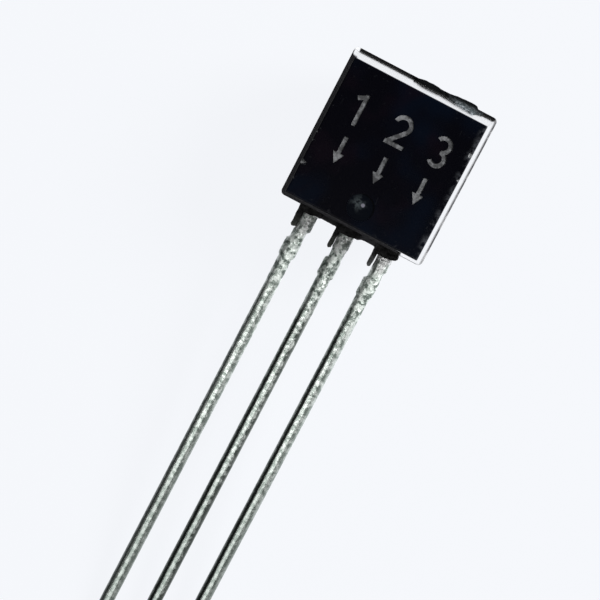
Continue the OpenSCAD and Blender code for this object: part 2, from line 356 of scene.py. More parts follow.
def backHalf():
    bm = bmesh.new()
    rows = []
    for k in range(case["backSteps"] + 1):
        turn = math.pi * k / case["backSteps"]
        x, z = -halfWidth * math.cos(turn), -halfWidth * math.sin(turn)
        y = halfHeight + z * math.tan(math.radians(case["endDraft"]))
        rows.append((bm.verts.new((x, -y, z)), bm.verts.new((x, y, z))))
    for (lowA, topA), (lowB, topB) in zip(rows, rows[1:]):
        bm.faces.new((lowA, topA, topB, lowB))
    bm.faces.new([low for low, _ in rows])
    bm.faces.new([top for _, top in reversed(rows)])
    bm.faces.new((rows[0][0], rows[-1][0], rows[-1][1], rows[0][1]))
    bmesh.ops.recalc_face_normals(bm, faces=bm.faces)
    # round the two curved rims: sharp edges behind the parting line that don't run up the case
    rims = [e for e in bm.edges if e.calc_face_angle(0) > 1.0 and min(v.co.z for v in e.verts) < -1e-4
            and abs(e.verts[0].co.y - e.verts[1].co.y) < halfHeight]
    bmesh.ops.bevel(bm, geom=rims, offset=case["backRound"], segments=case["backRoundSteps"], profile=0.5,
                    affect="EDGES")
    back = bmeshObject("back_half", bm)
    bm = bmesh.new()
    prism = roundedOutline(halfWidth, halfHeight, case["backCornerRound"])
    addPrism(bm, [(prism, -halfWidth - 1), (prism, 1)])
    combine(back, bmeshObject("corners", bm), "INTERSECT")
    return back


resin = {
    "colour": (0.0012, 0.0012, 0.0026, 1.0), "blue": (0.0012, 0.0026, 0.0066, 1.0),
    "plum": (0.0036, 0.0020, 0.0042, 1.0), "scuff": (0.030, 0.032, 0.036, 1.0),
    "back": (0.0050, 0.0050, 0.0056, 1.0), "dustyBack": (0.0150, 0.0150, 0.0160, 1.0),
    "rubbedRim": (0.046, 0.049, 0.056, 1.0), "bloom": (0.012, 0.012, 0.013, 1.0),
    # dull and dusty: the colours of the painted shade on the left and low walls
    "gloss": (0.97, 0.97, 0.97, 1.0), "dull": (0.020, 0.020, 0.022, 1.0), "dusty": (0.068, 0.065, 0.068, 1.0),
    # foot colours: painted reflection on the parting ledge
    "foot": (0.08, 0.08, 0.085, 1.0), "paleFoot": (0.42, 0.42, 0.43, 1.0), "lowFoot": (0.85, 0.86, 0.88, 1.0),
    # noises: scale, detail, roughness, the two levels they come in between, stretch
    "haze": (0.55, 2.0, 0.5, 0.45, 0.70), "plumPatches": (0.8, 2.0, 0.5, 0.50, 0.72, (1.0, 1.0, 3.0)),
    "specks": (7.0, 4.0, 0.7, 0.60, 0.72), "hairs": (2.2, 6.0, 0.6, 0.66, 0.74, (5.0, 1.0, 1.0)),
    "worn": (1.7, 3.0, 0.6, 0.44, 0.64), "crumbs": (6.0, 4.0, 0.7, 0.40, 0.62),
    "dust": (9.0, 5.0, 0.7, 0.30, 0.75),
    "ragged": (2.4, 4.0, 0.6), "grain": (55.0, 3.0, 0.6), "swells": (1.6, 2.0),
    # millimetres from the flat's face and edges
    "flatFrom": (-0.05, -0.01), "rimAcross": (-0.45, 0.0), "rimAlong": (-0.35, 0.0), "rubbed": (-0.22, -0.02),
    # and from the walls' feet: above and below the parting line, and in from the ends
    "footAbove": (0.02, 0.05), "footBelow": (-0.02, -0.005), "wallFrom": (0.0, 0.03),
    "footRight": (-0.10, -0.04), "footLow": (0.02, 0.08), "topEnd": (0.01, 0.07), "dullOut": (0.05, 0.10),
    # places across the case: where the low wall's painted shade ends and it turns glossy, and where the top
    # wall's foot is painted pale
    "glossyFrom": (1.45, 1.57), "raggedBy": 0.5, "paleCorner": (-2.17, -2.12),
    # grazing: where the walls' near-white mirror, a painted reflection, comes in
    "grazing": (0.68, 0.86),        # how low the angle is at which the walls' bloom comes in
    "specksOff": 0.05, "specksAtRim": 0.5, "hairsShare": 0.12, "plumShare": 0.7,
    "bumpShares": (0.5, 4.0, 1.5), "bump": (0.35, 0.0012),        # grain, swells, scuffs; strength and depth
    "roughness": (0.4, 0.2), "shine": 0.09,        # off the flat, on the flat; specular level
    "footDull": 0.8, "footWorn": 0.35,        # how much the right wall greys, and less where it is worn
}


def resinMasks(where):
    # where each of the case's finishes begins and ends
    across, along, out = where.axes()
    masks = {name: where.patches(*resin[name])
             for name in ("haze", "plumPatches", "specks", "hairs", "worn", "crumbs", "dust")}
    masks["onFlat"] = out.past(flatDepth, resin["flatFrom"])
    masks["rim"] = across.math("ABSOLUTE").past(flatHalfWidth, resin["rimAcross"]).larger(
        along.math("ABSOLUTE").past(flatHalfHeight, resin["rimAlong"]))
    rubbed = across.past(flatHalfWidth, resin["rubbed"]) * masks["worn"] * masks["crumbs"]
    masks["rubbed"] = rubbed * masks["onFlat"]

    ragged = across + (where.noise(*resin["ragged"]) - 0.5) * resin["raggedBy"]
    glossyEnd = ragged.step(*resin["glossyFrom"])
    topEnd = along.past(flatTop, resin["topEnd"])
    masks["rightFoot"] = across.past(halfWidth, resin["footRight"])
    masks["lowFoot"] = along.past(-halfHeight, resin["footLow"], 1.0, 0.0)
    masks["topLeft"] = topEnd * across.step(*resin["paleCorner"], 1.0, 0.0)
    # the ledge at the walls' feet where the reflection is painted
    masks["atFoot"] = out.step(*resin["footAbove"], 1.0, 0.0) * out.step(*resin["footBelow"])
    masks["atFoot"] *= masks["rightFoot"].larger(masks["lowFoot"] * glossyEnd).larger(masks["topLeft"])

    # two walls carry painted shade, a dull dark finish: the left one and the one at the leads, up to its
    # right end
    fromLeft = across - out * sideSlope + frontHalfWidth
    fromLow = along - out * topSlope + frontHalfHeight + case["mouldShift"]
    masks["leftWall"] = fromLeft.step(*resin["dullOut"], 1.0, 0.0) * (1.0 - topEnd)
    masks["lowWall"] = fromLow.step(*resin["dullOut"], 1.0, 0.0) * (1.0 - glossyEnd)
    masks["aboveFoot"] = out.step(*resin["wallFrom"])
    return masks


def resinColour(masks, scuffs):
    # bluish and plum hazes on the flat, a dusty back, and the parting ledge under the glossy walls painted
    # grey to white, a painted reflection that carries their white over it
    haze, worn = masks["haze"], masks["worn"]
    flat = haze.blend(resin["colour"], resin["blue"])
    flat = (masks["plumPatches"] * resin["plumShare"]).blend(flat, resin["plum"])
    back = (masks["dust"] * haze.step(0.0, 1.0, 0.35, 1.0)).blend(resin["back"], resin["dustyBack"])
    colour = masks["rubbed"].blend(masks["onFlat"].blend(back, flat), resin["rubbedRim"])
    # painted reflection on the ledge: grey at the right foot, near-white at the low right foot and the top
    # left corner
    foot = worn.blend(resin["foot"], resin["paleFoot"])
    foot = masks["lowFoot"].larger(masks["topLeft"]).blend(foot, resin["lowFoot"])
    return scuffs.blend(masks["atFoot"].blend(colour, foot), resin["scuff"])


def mouldedResin():
    material, tree = newMaterial("mouldedResin")
    where = caseSpace(tree)
    masks = resinMasks(where)
    onFlat = masks["onFlat"]
    # handling marks: specks, mostly along the flat's rim, and fine short scratches
    specks = masks["specks"] * (resin["specksOff"] + masks["rim"] * onFlat * resin["specksAtRim"])
    scuffs = (specks + masks["hairs"] * resin["hairsShare"]).math("MINIMUM", 1.0)
    grain, swells = where.noise(*resin["grain"]), where.noise(*resin["swells"])
    grainShare, swellShare, scuffShare = resin["bumpShares"]
    bump = (grain * grainShare + swells * swellShare + scuffs * scuffShare).bump(*resin["bump"])
    face = principled(tree, {
        "Base Color": resinColour(masks, scuffs), "Normal": bump, "Specular IOR Level": resin["shine"],
        "Roughness": onFlat.step(0.0, 1.0, *resin["roughness"]) + grain * 0.05 + scuffs * 0.2})

    # the walls round the flat came out of the mould glossy, with a bloom that shows at a low angle; a
    # near-white mirror mixed in at low angles is a painted reflection that makes them white
    bloom = principled(tree, {
        "Base Color": resin["bloom"], "Roughness": 0.12, "Coat Weight": 1.0, "Coat Roughness": 0.12,
        "Coat IOR": 2.0, "Sheen Weight": 0.3, "Sheen Roughness": 0.4, "Specular IOR Level": 0.5})
    gloss = principled(tree, {"Base Color": resin["gloss"], "Roughness": 0.15, "Metallic": 1.0})
    grazing = addNode(tree, "ShaderNodeLayerWeight", out="Facing").step(*resin["grazing"])
    # painted shade on the left and low walls: a dark dull finish with dust on it, in place of the glossy
    # walls' reflection
    rubbed = (masks["dust"] * (0.6 + masks["lowWall"] * 0.4)).blend(resin["dull"], resin["dusty"])
    dull = principled(tree, {
        "Base Color": rubbed, "Roughness": 0.7, "Normal": bump, "Specular IOR Level": 0.0})
    walls = mixShader(masks["leftWall"].larger(masks["lowWall"]), mixShader(grazing, bloom, gloss), dull)

    # the right wall greys towards its foot
    greyFoot = masks["rightFoot"] * (resin["footDull"] - masks["worn"] * resin["footWorn"])
    onWalls = masks["aboveFoot"] * (1.0 - greyFoot) * (1.0 - onFlat)
    return finishMaterial(material, mixShader(onWalls, face, walls))


lased = {
    "deep": (0.034, 0.035, 0.037, 1.0), "pale": (0.215, 0.220, 0.230, 1.0),
    "dots": 22.0, "dotShare": 0.6, "bump": (0.6, 0.004), "patches": (6.0, 3.0, 0.6, 0.36, 0.66),
}


def lasedMark():
    material, tree = newMaterial("lasedMark")
    where = caseSpace(tree)
    dots = addNode(tree, "ShaderNodeTexVoronoi", {"Vector": where, "Scale": lased["dots"]})
    level = where.patches(*lased["patches"]) * (1.0 - dots * lased["dotShare"])
    return finishMaterial(material, principled(tree, {
        "Base Color": level.blend(lased["deep"], lased["pale"]), "Roughness": 0.85,
        "Normal": dots.bump(*lased["bump"])}))


scar = {
    "middle": (-0.12, 0.08), "reach": (0.052, 0.26), "bead": (0.03, 0.08), "beadSize": (0.042, 0.07),
    "deep": (0.0010, 0.0017, 0.0036, 1.0), "milky": (0.058, 0.070, 0.075, 1.0),
    # bright: the painted highlight on the bead
    "bright": (0.15, 0.15, 0.18, 1.0),
    "torn": (7.0, 4.0, 0.6), "tornBy": 0.9, "milkyFrom": (0.3, 0.65), "tornShare": 0.5, "bump": (0.5, 0.006),
}


def ejectorScar():
    # the pin's round print: bluish, with a milky patch and one small raised bead that carries a painted
    # highlight
    material, tree = newMaterial("ejectorScar")
    where = caseSpace(tree)
    middle = Vector((0, flatLow + case["ejectorUp"], flatDepth - case["ejectorDepth"]))

    def away(spot):
        return addNode(tree, "ShaderNodeVectorMath", {0: where, 1: middle + Vector(spot + (0,))}, out="Value",
                       operation="DISTANCE")

    torn = where.noise(*scar["torn"])
    patch = (away(scar["middle"]) + (torn - 0.5) * scar["tornBy"]).step(*scar["reach"], 1.0, 0.0)
    bead = away(scar["bead"]).step(*scar["beadSize"], 1.0, 0.0)
    colour = (patch * torn.step(*scar["milkyFrom"])).blend(scar["deep"], scar["milky"])
    return finishMaterial(material, principled(tree, {
        "Base Color": bead.blend(colour, scar["bright"]), "Roughness": 0.3, "Specular IOR Level": 0.06,
        "Normal": (torn * scar["tornShare"] + bead).bump(*scar["bump"])}))


broken = {
    "flecks": (11.0, 4.0, 0.7), "fleckSoft": 0.22, "bump": (0.9, 0.012),
    # finish: dark, pale, the level from which it is pale, roughness, specular level
    "gateBreak": ((0.070, 0.086, 0.092, 1.0), (0.30, 0.325, 0.35, 1.0), 0.42, 0.6, 0.0),
    "flashResin": ((0.0014, 0.0013, 0.0015, 1.0), (0.011, 0.010, 0.011, 1.0), 0.52, 0.4, 0.15),
    "chippedResin": ((0.030, 0.032, 0.033, 1.0), (0.22, 0.225, 0.23, 1.0), 0.40, 0.6, 0.15),
    # mm: from the upper end and across the case, then from a lead's middle, across, and from the lower end
    "gateEdge": (0.004, 0.0045, 0.005, 1.0), "inner": (-0.20, 0.03), "gateLeft": (0.5, 1.3),
    "gateRight": (1.48, 1.68),
    "web": (0.048, 0.048, 0.055, 1.0), "webFrom": (0.30, 0.42), "webAcross": (-0.8, 0.5),
    "fin": (0.06, 0.064, 0.057, 1.0), "thirdFin": (0.13, 0.136, 0.134, 1.0), "finFrom": (-0.42, -0.24),
}


def gateColour(where, colour):
    # pale on the broken face towards the right, black at the gate's outer edge and at its left end
    across, along, _ = where.axes()
    inner = along.past(halfHeight, broken["inner"], 1.0, 0.0)
    paleEnd = across.step(*broken["gateLeft"]) * across.step(*broken["gateRight"], 1.0, 0.3)
    return (inner * paleEnd).blend(broken["gateEdge"], colour)


def flashColour(where, colour):
    # black round the leads, greyer on the thin web between them and on the fins, most on the third
    across, along, _ = where.axes()
    web = across.math("PINGPONG", leadPitch / 2).step(*broken["webFrom"])
    colour = (web * across.step(*broken["webAcross"], 0.35, 1.0)).blend(colour, broken["web"])
    fins = across.step(*leadGap).blend(broken["fin"], broken["thirdFin"])
    return along.past(-halfHeight, broken["finFrom"], 1.0, 0.0).blend(colour, fins)


def brokenResin(name, recolour=None):
    material, tree = newMaterial(name)
    where = caseSpace(tree)
    dark, pale, paleFrom, roughness, shine = broken[name]
    flecks = where.noise(*broken["flecks"])
    colour = flecks.step(paleFrom, paleFrom + broken["fleckSoft"]).blend(dark, pale)
    if recolour:
        colour = recolour(where, colour)
    return finishMaterial(material, principled(tree, {
        "Base Color": colour, "Roughness": roughness, "Specular IOR Level": shine,
        "Normal": flecks.bump(*broken["bump"])}))


tin = {
    "bright": (0.87, 0.93, 0.88, 1.0), "dull": (0.41, 0.475, 0.43, 1.0), "pit": (0.06, 0.08, 0.07, 1.0),
    # rim, side and low: the colours of the painted highlight on the roots, the painted shade on the edges,
    # and the painted shade towards the tips
    "rim": (0.97, 0.98, 0.97, 1.0), "side": (0.015, 0.019, 0.017, 1.0), "low": (0.20, 0.23, 0.21, 1.0),
    "mottle": (5.5, 3.0, 0.62), "streaks": (1.0, 2.0, 0.5, (7.0, 1.2, 7.0)), "crystals": (8.0, 0.3),
    "drawn": (1.0, 3.0, 0.6, (26.0, 1.6, 26.0)), "pitFrom": (0.52, 0.60), "dullFrom": (0.42, 0.58),
    "palerFrom": (0.44, 0.54), "palerBy": (0.9, 0.15), "pitShare": 0.75, "lowShare": 0.7,
    "metallic": 0.7, "roughness": 0.17, "bump": (0.8, 0.03), "bumpShares": (1.4, 0.9, 0.25),
    "aside": -0.035,        # mm that the leads stand off the pitch's lines
    # mm below the case: coarse tin, streaks and painted highlight of the third lead, painted shade greying
    # the tin, painted highlight paling the root, weaker painted edge shade
    "coarse": (1.6, 3.2), "streaksTo": (0.8, 1.0), "rimTo": (0.40, 0.46), "lowFrom": (3.5, 10.5),
    "nearRoot": (0.55, 0.9), "sidesFrom": (0.85, 1.1),
    # mm from a lead's middle: its painted dark left edge, the edge's paler rim, and its painted dark right
    # edge
    "left": (-0.14, -0.08), "leftRim": (-0.20, -0.13), "right": (0.06, 0.13), "wider": 0.045,
    "edgeOut": (0.02, 0.07), "wander": (0.10, 0.2), "rightShare": (0.4, 0.4),
}


def tinEdgeShade(where, mottle, coarse, below):
    # painted shade: the rounded edges of the front are darker than the faces, standing in for the dark
    # surroundings they mirror: on the left wider on the second and third leads, on the right darker on the
    # second
    across, _, out = where.axes()
    middle = (across / leadPitch).math("ROUND") * leadPitch
    leftWander, rightWander = tin["wander"]
    offset = across - middle - tin["aside"] + (mottle - 0.5) * leftWander
    gapFrom, gapTo = leadGap
    wider = across.step(-gapTo, -gapFrom) * tin["wider"]
    left = (offset - wider).step(*tin["left"], 1.0, 0.0) * offset.step(*tin["leftRim"], 0.7, 1.0)
    onSecond = across.math("ABSOLUTE").step(*leadGap, 1.0, 0.0)
    rightShare, secondShare = tin["rightShare"]
    right = (offset + (mottle - 0.5) * rightWander).step(*tin["right"])
    right = right * (rightShare + onSecond * secondShare)
    edgeShade = left.larger(right) * out.step(*tin["edgeOut"])
    return edgeShade * (1.0 - coarse * 0.5) * below.step(*tin["sidesFrom"], 0.4, 1.0)


def hotTin():
    material, tree = newMaterial("hotTin")
    where = caseSpace(tree)
    across, along, _ = where.axes()
    below = -halfHeight - along
    coarse = below.step(*tin["coarse"], 1.0, 0.1)
    mottle = where.noise(*tin["mottle"])
    # the third lead is streaked at its root, under a painted highlight: a near-white band
    third = across.step(*leadGap)
    streaks = where.noise(*tin["streaks"])
    mottle = mottle + (streaks - mottle) * (third * below.step(*tin["streaksTo"], 1.0, 0.0))
    rim = third * (below + mottle * 0.1).step(*tin["rimTo"], 1.0, 0.0)
    # painted highlight: the roots pale towards near-white, and the first two leads' roots are less metallic
    nearRoot = below.step(*tin["nearRoot"], 1.0, 0.0)
    rootHighlight = nearRoot * mottle.step(*tin["palerFrom"], *tin["palerBy"])
    pits = mottle.step(*tin["pitFrom"]) * coarse * tin["pitShare"]

    colour = mottle.step(*tin["dullFrom"]).blend(tin["bright"], tin["dull"])
    colour = pits.blend(colour, tin["pit"])
    # painted shade: the tin greys towards the tips
    colour = (below.step(*tin["lowFrom"]) * tin["lowShare"]).blend(colour, tin["low"])
    colour = tinEdgeShade(where, mottle, coarse, below).blend(colour, tin["side"])
    metallic = (tin["metallic"] - (coarse - 0.1) * 0.2) * (1.0 - nearRoot * (1.0 - third) * 0.35)

    crystalScale, smoothness = tin["crystals"]
    crystals = addNode(tree, "ShaderNodeTexVoronoi", {
        "Vector": where, "Scale": crystalScale, "Smoothness": smoothness}, feature="SMOOTH_F1")
    mottleShare, crystalShare, drawnShare = tin["bumpShares"]
    height = (mottle * mottleShare + crystals * crystalShare) * coarse
    height = height + where.noise(*tin["drawn"]) * drawnShare
    return finishMaterial(material, principled(tree, {
        "Base Color": rim.larger(rootHighlight).blend(colour, tin["rim"]), "Metallic": metallic,
        "Roughness": tin["roughness"] + coarse * 0.2 + mottle * 0.08, "Normal": height.bump(*tin["bump"])}))


caseResin, caseMark, leadTin, ejectorMark = mouldedResin(), lasedMark(), hotTin(), ejectorScar()
gateFinish, flashFinish = brokenResin("gateBreak", gateColour), brokenResin("flashResin", flashColour)
chippedResin = brokenResin("chippedResin")


# parts inside the case keep their solids; for each finish: colour, darker colour, scale, metallic, roughness
innerFinish = {
    "goldWire": ((0.93, 0.68, 0.27, 1.0), (0.80, 0.55, 0.20, 1.0), 40.0, 1.0, 0.2),
    "silicon": ((0.10, 0.11, 0.14, 1.0), (0.06, 0.07, 0.11, 1.0), 25.0, 0.6, 0.15),
    "dieSolder": ((0.55, 0.55, 0.57, 1.0), (0.30, 0.30, 0.32, 1.0), 30.0, 0.9, 0.4),
}


def insideMaterial(name):
    colour, dark, scale, metallic, roughness = innerFinish[name]
    material, tree = newMaterial(name)
    worn = caseSpace(tree).noise(scale, 3.0, 0.6)
    return finishMaterial(material, principled(tree, {
        "Base Color": worn.step(0.35, 0.65).blend(colour, dark), "Metallic": metallic,
        "Roughness": roughness + worn * 0.1, "Normal": worn.bump(0.4, 0.002)}))


gold, silicon, solder = [insideMaterial(name) for name in ("goldWire", "silicon", "dieSolder")]
for name, finish in (("die", silicon), ("die_attach", solder), ("base_wire", gold), ("emitter_wire", gold)):
    giveFinish(frame["nodes"][name], finish)
print("finishes ready")


# the case's shell, with its marking cut in: plain pin numbers and arrows to the leads
marking = {
    "digitHeight": 0.96, "digitWidth": 0.60, "stroke": 0.13, "depth": 0.02, "digitUp": 0.86,
    "arrowHeight": 0.84, "arrowWidth": 0.36, "arrowDown": 0.40, "arcSteps": 24,
    "flag": (0.4, 0.3), "arrowPoint": 0.4, "cutAbove": 0.1,
}


def barOutline(a, b):
    a, b = Vector(a), Vector(b)
    side = (b - a).normalized().orthogonal() * marking["stroke"] / 2
    return [a - side, b - side, b + side, a + side]


def arcOutline(centre, radius, start, end):
    centre, half, steps = Vector(centre), marking["stroke"] / 2, marking["arcSteps"]
    turns = [math.radians(start + (end - start) * k / steps) for k in range(steps + 1)]
    outer = [centre + onCircle(turn, radius + half) for turn in turns]
    return outer + [centre + onCircle(turn, radius - half) for turn in reversed(turns)]


def digitOne():
    top, (left, up) = marking["digitHeight"] / 2, marking["flag"]
    flag = (-marking["digitWidth"] * left, marking["digitHeight"] * up)
    return [barOutline((0, -top), (0, top)), barOutline(flag, (0, top - marking["stroke"] * 0.6))]


def digitTwo():
    radius = (marking["digitWidth"] - marking["stroke"]) / 2
    centre = Vector((0, (marking["digitHeight"] - marking["digitWidth"]) / 2))
    low = (marking["stroke"] - marking["digitHeight"]) / 2
    half, neckTurn = marking["digitWidth"] / 2, -35
    neck = centre + onCircle(math.radians(neckTurn), radius)
    return [arcOutline(centre, radius, neckTurn, 170), barOutline((-radius, low), neck),
            barOutline((-half, low), (half, low))]


def digitThree():
    radius = (marking["digitHeight"] - marking["stroke"]) / 4
    return [arcOutline((0, radius), radius, -90, 150), arcOutline((0, -radius), radius, -150, 90)]


def arrow():
    low, high = -marking["arrowHeight"] / 2, marking["arrowHeight"] / 2
    neck, half = low + marking["arrowHeight"] * marking["arrowPoint"], marking["arrowWidth"] / 2
    return [barOutline((0, (low + neck) / 2), (0, high)),
            [Vector((-half, neck)), Vector((0, low)), Vector((half, neck))]]


def cutIn(thing, name, drawings, depth, finish):
    # cuts outlines into the flat and gives the cut its own finish
    bm = bmesh.new()
    for (x, y), outlines in drawings:
        for outline in outlines:
            moved = [p + Vector((x, y)) for p in outline]
            addPrism(bm, [(moved, flatDepth - depth), (moved, flatDepth + marking["cutAbove"])])
    cutter = bmeshObject(name, bm)
    giveFinish(cutter, finish)
    combine(thing, cutter, "DIFFERENCE", True)


# small knocks along the flat's two long edges: side, height up the case, size
chips = {
    "places": ((-1, -0.25, 0.05), (-1, -0.48, 0.07), (-1, -0.80, 0.04), (-1, -1.17, 0.11), (-1, -1.68, 0.07),
               (1, 1.16, 0.08), (1, 0.38, 0.06)),
    "inward": 0.2, "above": 0.4, "ragged": 0.8,        # shares of the size
    "raggedScale": 9.0,
}


def chipEdges(thing):
    bm = bmesh.new()
    for side, up, size in chips["places"]:
        at = Vector((side * (flatHalfWidth - size * chips["inward"]), up, flatDepth + size * chips["above"]))
        lump = bmesh.ops.create_icosphere(bm, subdivisions=2, radius=size, matrix=Matrix.Translation(at))
        for vert in lump["verts"]:
            vert.co += noise.noise_vector(vert.co * chips["raggedScale"]) * size * chips["ragged"]
    cutter = bmeshObject("chips", bm)
    giveFinish(cutter, chippedResin)
    combine(thing, cutter, "DIFFERENCE", True)


def makeShell():
    shell = backHalf()
    shell.name = "case_shell"
    combine(shell, frontHalf(), "UNION")
    giveFinish(shell, caseResin)
    steps = case["ejectorSteps"]
    circle = [onCircle(math.tau * k / steps, case["ejector"]) for k in range(steps)]
    cutIn(shell, "dimple", [((0, flatLow + case["ejectorUp"]), [circle])], case["ejectorDepth"], ejectorMark)
    drawings = [((x, -marking["arrowDown"]), arrow()) for x in leadX]
    drawings += [((x, marking["digitUp"]), digit())
                 for x, digit in zip(leadX, (digitOne, digitTwo, digitThree))]
    cutIn(shell, "marks", drawings, marking["depth"], caseMark)
    chipEdges(shell)
    shell.data.shade_smooth()
    shell.data.set_sharp_from_angle(angle=math.radians(case["sharpFrom"]))
    weighted = shell.modifiers.new("weighted", "WEIGHTED_NORMAL")
    weighted.keep_sharp = True
    bake(shell)
    shell.data.transform(place)
    ridesOn(shell, "moulded_case", "case")
    return shell


shell = makeShell()
print("case shell:", len(shell.data.polygons), "faces,", len(shell.data.materials), "finishes")


# the leads' sizes, which the resin round them follows too
lead = {
    "width": 0.41, "thickness": 0.38, "rounding": 0.18,
    "rootWidth": 0.46, "rootLength": 0.67, "rootAside": (0.085, 0.025, 0.05),
    "stubWidth": 0.50, "stubFrom": 1.00, "stubLength": 0.56,
}

# resin that the mould left at the leads and at the gate
scrap = {
    "voxel": 0.018, "wobble": 0.016, "grit": 0.006, "wobbleScale": 5.0, "gritScale": 17.0,
    "inside": 0.2, "web": 0.09, "wedge": 0.27,
    "collar": 0.14, "collarGrowth": 0.05, "collarWall": 0.08, "collarCut": 0.04,
    "lobe": 0.05, "lobeStep": 0.06,
    "finThickness": 0.28, "finCut": (0.05, 0.06), "finSlant": (0.02, 0.04), "finLap": 0.05,
    # for each lead: how far its fin stands out, how far it laps the lead, and its tip's place below the case
    "fins": ((0.12, 0.08, 0.67), (0.16, -0.01, 0.75), (0.17, -0.01, 0.69)),
    # the lump and the broken gate along the upper end: x, rise past the end, reach up the wall
    "gate": ((-0.36, -0.01, 0.03), (-0.08, 0.04, 0.20), (0.20, 0.042, 0.20), (0.44, 0.018, 0.08),
             (0.62, 0.024, 0.13), (0.82, 0.034, 0.24), (1.02, 0.055, 0.46), (1.40, 0.08, 0.62),
             (1.57, 0.078, 0.82), (1.67, 0.0, 0.42), (1.84, -0.02, 0.05)),
    # how deep the gate roots in the wall, how far it stands off, and its outer edge: heights and slant
    "gateRoot": 0.1, "gateOff": 0.01, "gateEdge": (0.12, 0.04), "gateSlant": 0.8,
}


def roughResin(name, blocks, seed, finish):
    # blocks are the corners of convex lumps, which melt into one rough piece
    bm = bmesh.new()
    for corners in blocks:
        bmesh.ops.convex_hull(bm, input=[bm.verts.new(corner) for corner in corners])
    thing = bmeshObject(name, bm)
    melt = thing.modifiers.new("melt", "REMESH")
    melt.mode, melt.voxel_size, melt.adaptivity = "VOXEL", scrap["voxel"], 0.0
    bake(thing)
    for vert in thing.data.vertices:
        slow = noise.noise_vector(vert.co * scrap["wobbleScale"] + Vector((seed, 0, 0)))
        quick = noise.noise_vector(vert.co * scrap["gritScale"] + Vector((0, seed, 0)))
        vert.co += slow * scrap["wobble"] + quick * scrap["grit"]
    thing.data.shade_smooth()
    giveFinish(thing, finish)
    thing.data.transform(place)
    ridesOn(thing, "moulded_case", "case")
    return thing


def slab(outline, halfThickness):
    return [(x, y, side * halfThickness) for x, y in outline for side in (-1, 1)]


def leadResin():
    half = lead["thickness"] / 2
    wall, thin = half + scrap["collarWall"], scrap["finThickness"] / 2
    inside = -halfHeight + scrap["inside"]
    webLow = -halfHeight - scrap["web"]
    cut, swell, (finX, finY), (slantX, slantY) = [scrap[name] for name in (
        "collarCut", "lobeStep", "finCut", "finSlant")]
    blocks = [slab([(leadX[0], webLow), (leadX[2], webLow), (leadX[2], inside), (leadX[0], inside)], half)]
    for k, (x, (reach, lap, tipBelow)) in enumerate(zip(leadX, scrap["fins"])):
        # the collar, square on the left and with a lobe on the right
        left = x - lead["rootWidth"] / 2
        right = x + lead["rootWidth"] / 2 + scrap["collarWall"]
        low = -halfHeight - scrap["collar"] - k * scrap["collarGrowth"]
        out, lobe = left - reach, right + scrap["lobe"]
        blocks.append(slab([(out, low + cut), (out + cut, low), (x + swell, low), (right, low + swell),
                            (lobe, low + swell * 2), (lobe - 0.01, low + swell * 3),
                            (right - 0.02, inside), (out, inside)], wall))
        # the fin, and the web's wedge beside the collar
        inner, tip, lapped = left + lap, -halfHeight - tipBelow, low + scrap["finLap"]
        blocks.append(slab([(out, tip + finY), (out + finX, tip), (inner - slantX, tip + slantY),
                            (inner, lapped), (out, lapped)], thin))
        if k < 2:
            blocks.append(slab([(right - 0.01, low + 0.02), (right + scrap["wedge"], -halfHeight - 0.02),
                                (right, inside)], half))
    return roughResin("lead_resin", blocks, 3.0, flashFinish)


def gateResin():
    # each block runs between two stations of the gate
    high, low = scrap["gateEdge"]

    def station(x, rise, up):
        wall, end = frontHalfHeight - case["mouldShift"] - up * topSlope, halfHeight + rise
        root, face = wall - scrap["gateRoot"], wall + scrap["gateOff"]
        return [(x, root, 0.0), (x, root, up), (x, face, up),
                (x, halfHeight + rise * scrap["gateSlant"], high), (x, end, low), (x, end, 0.0)]

    ends = [station(*numbers) for numbers in scrap["gate"]]
    return roughResin("gate_resin", [one + other for one, other in zip(ends, ends[1:])], 11.0, gateFinish)


for thing in (leadResin(), gateResin()):
    print(thing.name, len(thing.data.polygons), "faces")


# leads: one tree, three sets of sizes
sweep = {
    "spacing": 0.04, "around": 44, "filletSteps": 10, "taper": 0.06, "rootFrom": -0.6, "neckAside": 0.03,
    "fineRough": 0.003, "coarseRough": 0.011, "coarseTo": (1.8, 3.4), "seedShift": 3.1,
    "coarse": (5.0, 2.0, 0.6), "drawn": (1.0, 2.0, 0.5, (9.0, 1.4, 9.0)),
    "headFrom": 0.7, "headOverlap": 0.1,
}


def position(tree, x=0.0, y=0.0, z=0.0):
    return addNode(tree, "ShaderNodeCombineXYZ", {0: x, 1: y, 2: z})


def leadBar(tree, size):
    # a rounded bar down the lead, in short steps
    path = addNode(tree, "GeometryNodeCurvePrimitiveLine", {
        "Start": position(tree, y=size["Top"]), "End": position(tree, y=size["Tip"])})
    path = addNode(tree, "GeometryNodeResampleCurve", {
        "Curve": path, "Length": size["Spacing"]}, mode="LENGTH")
    section = addNode(tree, "GeometryNodeCurvePrimitiveQuadrilateral", {
        "Width": size["Width"], "Height": size["Thickness"]})
    section = addNode(tree, "GeometryNodeFilletCurve", {
        "Curve": section, "Count": sweep["filletSteps"], "Radius": size["Rounding"]}, mode="POLY")
    section = addNode(tree, "GeometryNodeResampleCurve", {
        "Curve": section, "Count": sweep["around"]}, mode="COUNT")
    return addNode(tree, "GeometryNodeCurveToMesh", {
        "Curve": path, "Profile Curve": section, "Fill Caps": True})


